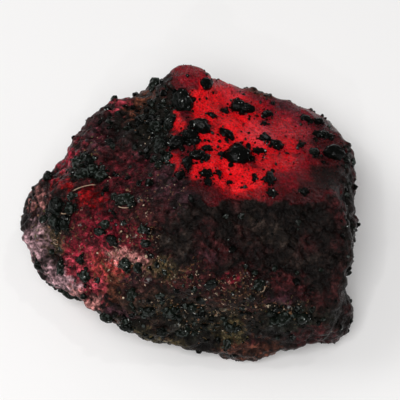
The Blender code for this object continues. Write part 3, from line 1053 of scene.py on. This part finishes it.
def corundum_rough_break(scene):
    """Raw corundum, broken and weathered: dull to waxy, crimson inside and stained outside, with
    painted shade in its hollows and painted glints on its crests.
    """
    paints, grain = scene.ruby_colours, scene.ruby_grain_colours
    made, tree, place = new_finish("corundum_rough_break")
    surface = add(tree, "ShaderNodeAttribute", output="Color", attribute_name="tone")
    clear, hollow, fibre, crust, flecks, crest = (
        add(tree, "ShaderNodeAttribute", output="Fac", attribute_name=name)
        for name in ("window", "hollow", "fibre", "crust", "flecks", "crest")
    )
    # Sizes in mm, with the detail and the roughness of each. Real dust is too fine to show,
    # so it is drawn as coarse as it needs to show.
    lumps, grit, dust, crumbs, hues, painted_glint_noise = (
        add(
            tree, "ShaderNodeTexNoise",
            {"Vector": place, "Scale": 1 / (size * MM), "Detail": detail, "Roughness": rough},
        )
        for size, detail, rough in (
            (0.9, 3, 0.6), (0.36, 4, 0.7), (0.17, 2, 0.6), (0.26, 3, 0.7), (0.6, 1, 0.5),
            (0.3, 2, 0.6),
        )
    )
    grain_colour = add(
        tree, "ShaderNodeTexVoronoi", {"Vector": place, "Scale": 1 / (0.3 * MM)}, "Color"
    )
    grain_height = grain_colour.node.outputs["Distance"]

    # Steps that lead up to a smooth change: (operation, first, second).
    opaque, swing, dust_height, grit_height, grain_groove = (
        add(tree, "ShaderNodeMath", {0: first, 1: second}, operation=operation)
        for operation, first, second in (
            ("SUBTRACT", 1.0, clear), ("SUBTRACT", grit, 0.5), ("MULTIPLY", dust, 0.3),
            ("MULTIPLY", grit, 1.2), ("MULTIPLY", grain_height, 0.5),
        )
    )
    swing = add(tree, "ShaderNodeMath", {0: swing, 1: 1.6}, operation="MULTIPLY")
    crust_edge = add(tree, "ShaderNodeMath", {0: crust, 1: swing}, operation="ADD")

    # Smooth changes: (name, what it follows, from there, to there, its start, its end).
    share = {}
    for name, value, low, high, first, last in (
        ("rough grit", grit, 0.36, 0.66, 1.35, 0.4),
        ("rough grains", grain_colour, 0.25, 0.75, 0.6, 1.3),
        ("rough dust", dust, 0.4, 0.68, 1.1, 0.5),
        # Painted shade: darker where the skin is sunken, lighter on its ridges.
        ("hollows", hollow, 0.2, 0.8, 1.5, 0.5),
        ("clear grit", grit, 0.42, 0.72, 1.08, 0.4),
        ("clear dust", dust, 0.50, 0.66, 1.08, 0.5),
        ("stain", lumps, 0.50, 0.60, 0.0, 0.7),
        ("crust", crust_edge, 0.40, 0.62, 0.0, 1.0),
        ("green crust", dust, 0.3, 0.75, 0.0, 1.0),
        ("black grit", dust, 0.60, 0.68, 0.0, 0.6),
        ("fleck edge", flecks, 0.0, 1.0, 0.72, 0.57),
        ("tan flecks", hues, 0.36, 0.48, 0.0, 1.0),
        ("cream flecks", hues, 0.52, 0.64, 0.0, 1.0),
        # Painted glints, and where they gather.
        ("painted_glints", painted_glint_noise, 0.52, 0.57, 0.0, 1.0),
        ("painted glint zones", flecks, 0.0, 1.0, 0.12, 0.8),
        ("dullness", grit, 0.3, 0.7, 0.16, 0.42),
    ):
        share[name] = add(
            tree, "ShaderNodeMapRange",
            {"Value": value, "From Min": low, "From Max": high, "To Min": first, "To Max": last},
            interpolation_type="SMOOTHSTEP",
        )
    over = add(
        tree, "ShaderNodeMath", {0: crumbs, 1: share["fleck edge"]}, operation="SUBTRACT"
    )
    over = add(tree, "ShaderNodeMath", {0: over, 1: 14.0}, operation="MULTIPLY")
    fleck = add(
        tree, "ShaderNodeMapRange", {"Value": over, "To Max": 0.8}, interpolation_type="SMOOTHSTEP"
    )

    # Products: (name, what is multiplied). Every little grain has its own tone; painted shade
    # makes it darker in the hollows and lighter on the ridges; all is weaker on the clear patch.
    product = {}
    for name, value, *others in (
        ("rough shade", share["rough grit"], share["rough grains"], share["rough dust"], fibre,
         share["hollows"], opaque),
        ("clear shade", share["clear grit"], share["clear dust"], clear),
        ("stain", share["stain"], opaque),
        ("crust", share["crust"], 0.75),
        ("flecks", fleck, opaque),
        # Painted glints on the crests.
        ("painted_glints", share["painted_glints"], opaque, crest, share["painted glint zones"]),
        ("light let in", clear, 0.08),
        ("light spread", clear, 0.6),
    ):
        for other in others:
            value = add(tree, "ShaderNodeMath", {0: value, 1: other}, operation="MULTIPLY")
        product[name] = value
    shade = add(
        tree, "ShaderNodeMath", {0: product["rough shade"], 1: product["clear shade"]},
        operation="ADD",
    )
    surface = add(
        tree, "ShaderNodeVectorMath", {0: surface, "Scale": shade}, operation="SCALE"
    )

    # Colours: crust from black to green, and flecks from olive over tan to cream.
    dark, fleck_colour = (
        add(tree, "ShaderNodeMix", {0: share[name], 6: first, 7: second}, 2, data_type="RGBA")
        for name, first, second in (
            ("green crust", paints.black, paints.green_black),
            ("tan flecks", grain.olive, grain.tan),
        )
    )
    fleck_colour = add(
        tree, "ShaderNodeMix", {0: share["cream flecks"], 6: fleck_colour, 7: grain.cream}, 2,
        data_type="RGBA",
    )
    # Layers of colour over the skin; the last is painted glints.
    for amount, colour in (
        (product["stain"], paints.black),
        (product["crust"], dark),
        (share["black grit"], paints.black),
        (product["flecks"], fleck_colour),
        (product["painted_glints"], grain.painted_glint),
    ):
        surface = add(
            tree, "ShaderNodeMix", {0: amount, 6: surface, 7: colour}, 2, data_type="RGBA"
        )

    relief = add(tree, "ShaderNodeMath", {0: dust_height, 1: grit_height}, operation="ADD")
    relief = add(tree, "ShaderNodeMath", {0: relief, 1: grain_groove}, operation="SUBTRACT")
    return end_finish(
        made, relief, 0.9, 0.16,
        {
            "Base Color": surface, "IOR": 1.77, "Specular IOR Level": 0.04,
            "Roughness": share["dullness"], "Transmission Weight": product["light let in"],
            "Subsurface Weight": product["light spread"],
            "Subsurface Radius": (1.0, 0.08, 0.06), "Subsurface Scale": 0.6 * MM,
        },
    )


def amphibole_grown_face(scene, painted_glint_rarity):
    """Amphibole as it grew: black with a green cast, glassy faces, dull breaks, painted sheen and
    glints.
    """
    colours = scene.ruby_grain_colours
    made, tree, place = new_finish("amphibole_grown_face")
    tint = add(tree, "ShaderNodeAttribute", output="Fac", attribute_name="tint")
    mottle, broad, painted_glint_noise = (
        add(
            tree, "ShaderNodeTexNoise",
            {"Vector": place, "Scale": 1 / (size * MM), "Detail": detail, "Roughness": rough},
        )
        for size, detail, rough in ((0.3, 3, 0.5), (0.28, 1, 0.5), (0.24, 2, 0.6))
    )
    # What each follows, from there, to there, its start, its end.
    mossy, green, painted_sheen, painted_glints, dullness = (
        add(
            tree, "ShaderNodeMapRange",
            {"Value": value, "From Min": low, "From Max": high, "To Min": first, "To Max": last},
            interpolation_type="SMOOTHSTEP",
        )
        for value, low, high, first, last in (
            (tint, 0.3, 1.0, 0.0, 1.0),
            (tint, 0.3, 0.9, 0.0, 1.0),
            (broad, 0.53, 0.63, 0.0, 0.55),
            (painted_glint_noise, painted_glint_rarity, painted_glint_rarity + 0.05, 0.0, 1.0),
            (mottle, 0.35, 0.65, 0.06, 0.25),
        )
    )
    # Painted sheen on some faces, most on the lone crystals, and painted glints.
    painted_sheen = add(tree, "ShaderNodeMath", {0: painted_sheen, 1: green}, operation="MULTIPLY")
    painted_glints = add(tree, "ShaderNodeMath", {0: painted_glints, 1: 0.65}, operation="MULTIPLY")
    colour = colours.amphibole
    for amount, over in ((mossy, colours.moss), (painted_sheen, colours.painted_facet_sheen), (painted_glints, colours.painted_glint)):
        colour = add(tree, "ShaderNodeMix", {0: amount, 6: colour, 7: over}, 2, data_type="RGBA")
    return end_finish(
        made, mottle, 0.6, 0.1,
        {"Base Color": colour, "Roughness": dullness, "IOR": 1.64, "Specular IOR Level": 0.05},
    )


def weathered_feldspar(scene):
    """Weathered feldspar and rusty crumbs: dull, from cream to tan and olive."""
    colours = scene.ruby_grain_colours
    made, tree, place = new_finish("weathered_feldspar")
    tint = add(tree, "ShaderNodeAttribute", output="Fac", attribute_name="tint")
    grain = add(
        tree, "ShaderNodeTexNoise",
        {"Vector": place, "Scale": 1 / (0.12 * MM), "Detail": 2, "Roughness": 0.5},
    )
    colour = colours.olive
    for value, low, high, most, over in (
        (tint, 0.2, 0.7, 1.0, colours.tan),
        (tint, 0.8, 1.0, 1.0, colours.cream),
        (grain, 0.45, 0.7, 0.6, colours.tan),
    ):
        amount = add(
            tree, "ShaderNodeMapRange",
            {"Value": value, "From Min": low, "From Max": high, "To Min": 0.0, "To Max": most},
            interpolation_type="SMOOTHSTEP",
        )
        colour = add(tree, "ShaderNodeMix", {0: amount, 6: colour, 7: over}, 2, data_type="RGBA")
    return end_finish(
        made, grain, 0.5, 0.04,
        {"Base Color": colour, "Roughness": 0.5, "IOR": 1.53, "Specular IOR Level": 0.2},
    )


def matt_paper(scene):
    """White paper, pressed and uncoated: even and matt, with hardly any sheen."""
    made, tree, place = new_finish("matt_paper")
    fibres = add(
        tree, "ShaderNodeTexNoise",
        {"Vector": place, "Scale": 1 / (3.0 * MM), "Detail": 4, "Roughness": 0.5},
    )
    return end_finish(
        made, fibres, 0.1, 0.1,
        {"Base Color": scene.ruby_grain_colours.paper, "Roughness": 0.9, "Specular IOR Level": 0.2},
    )


# ---------------------------------------------------------------- stage

# Square lights that point at the stone: (name, place and side in metres, watts, colour).
# The sparks are small and weak, for glints on the grains.
LIGHTS = (
    ("high_light", (-0.05, -0.20, 0.37), 0.22, 1.11, (1.0, 0.99, 0.985)),
    ("window_light", (-0.30, 0.08, 0.30), 0.25, 0.52, (1.0, 0.995, 0.99)),
    ("left_spark", (-0.12, -0.12, 0.34), 0.006, 0.05, (1.0, 1.0, 1.0)),
    ("right_spark", (0.10, 0.02, 0.36), 0.006, 0.05, (1.0, 1.0, 1.0)),
    ("low_spark", (-0.04, -0.30, 0.24), 0.006, 0.05, (1.0, 1.0, 1.0)),
)
PAPER_SIDE = 1.6
PAPER_TOP = -0.02 * MM
ROOM_COLOUR = (1, 0.99, 0.98, 1)
ROOM_STRENGTH = 0.22


class RUBY_OT_stage(bpy.types.Operator):
    """Sets the paper, the lights and the camera"""

    bl_idname = "ruby.stage"
    bl_label = "Stage"

    def execute(self, context):
        deselect()
        bpy.ops.mesh.primitive_plane_add(size=PAPER_SIDE, location=(0, 0, PAPER_TOP))
        floor = bpy.context.object
        floor.name = "paper"
        floor.data.materials.append(matt_paper(context.scene))
        for name, place, side, watts, colour in LIGHTS:
            deselect()
            bpy.ops.object.light_add(type="AREA", location=place)
            light = bpy.context.object
            light.name = name
            light.rotation_euler = (HEART - Vector(place)).to_track_quat("-Z", "Y").to_euler()
            light.data.shape = "SQUARE"
            light.data.size = side
            light.data.energy = watts
            light.data.color = colour
        world = bpy.data.worlds.new("room")
        world.use_nodes = True
        background = world.node_tree.nodes["Background"]
        background.inputs["Color"].default_value = ROOM_COLOUR
        background.inputs["Strength"].default_value = ROOM_STRENGTH
        context.scene.world = world
        bpy.ops.object.camera_add(location=EYE)
        camera = bpy.context.object
        camera.rotation_euler = (-TOWARDS).to_track_quat("-Z", "Y").to_euler()
        camera.data.lens = LENS
        camera.data.sensor_width = SENSOR
        camera.data.clip_start = 1 * MM
        context.scene.camera = camera
        context.scene.view_settings.view_transform = "Standard"
        return {"FINISHED"}


class RUBY_PT_panel(bpy.types.Panel):
    """Lists the steps that make the ruby"""

    bl_idname = "RUBY_PT_panel"
    bl_label = "Raw Ruby"
    bl_space_type = "VIEW_3D"
    bl_region_type = "UI"
    bl_category = "Ruby"

    def draw(self, context):
        for operator in OPERATORS:
            self.layout.operator(operator.bl_idname)
        for group in GROUPS:
            settings = getattr(context.scene, group)
            for name in settings.__annotations__:
                self.layout.prop(settings, name)


GROUPS = {
    "ruby_sizes": RubySizes,
    "ruby_grain_sizes": GrainSizes,
    "ruby_colours": RubyColours,
    "ruby_grain_colours": GrainColours,
}
OPERATORS = (RUBY_OT_stone, RUBY_OT_crystals, RUBY_OT_grains, RUBY_OT_pale_grains, RUBY_OT_stage)


def register():
    for group in GROUPS.values():
        bpy.utils.register_class(group)
    for name, group in GROUPS.items():
        setattr(bpy.types.Scene, name, bpy.props.PointerProperty(type=group))
    for shown in (*OPERATORS, RUBY_PT_panel):
        bpy.utils.register_class(shown)


def unregister():
    for shown in reversed((*OPERATORS, RUBY_PT_panel)):
        bpy.utils.unregister_class(shown)
    for name, group in reversed(GROUPS.items()):
        delattr(bpy.types.Scene, name)
        bpy.utils.unregister_class(group)


def main():
    register()
    bpy.ops.ruby.stone()
    bpy.ops.ruby.crystals()
    bpy.ops.ruby.grains()
    bpy.ops.ruby.pale_grains()
    bpy.ops.ruby.stage()


if __name__ == "__main__":
    main()
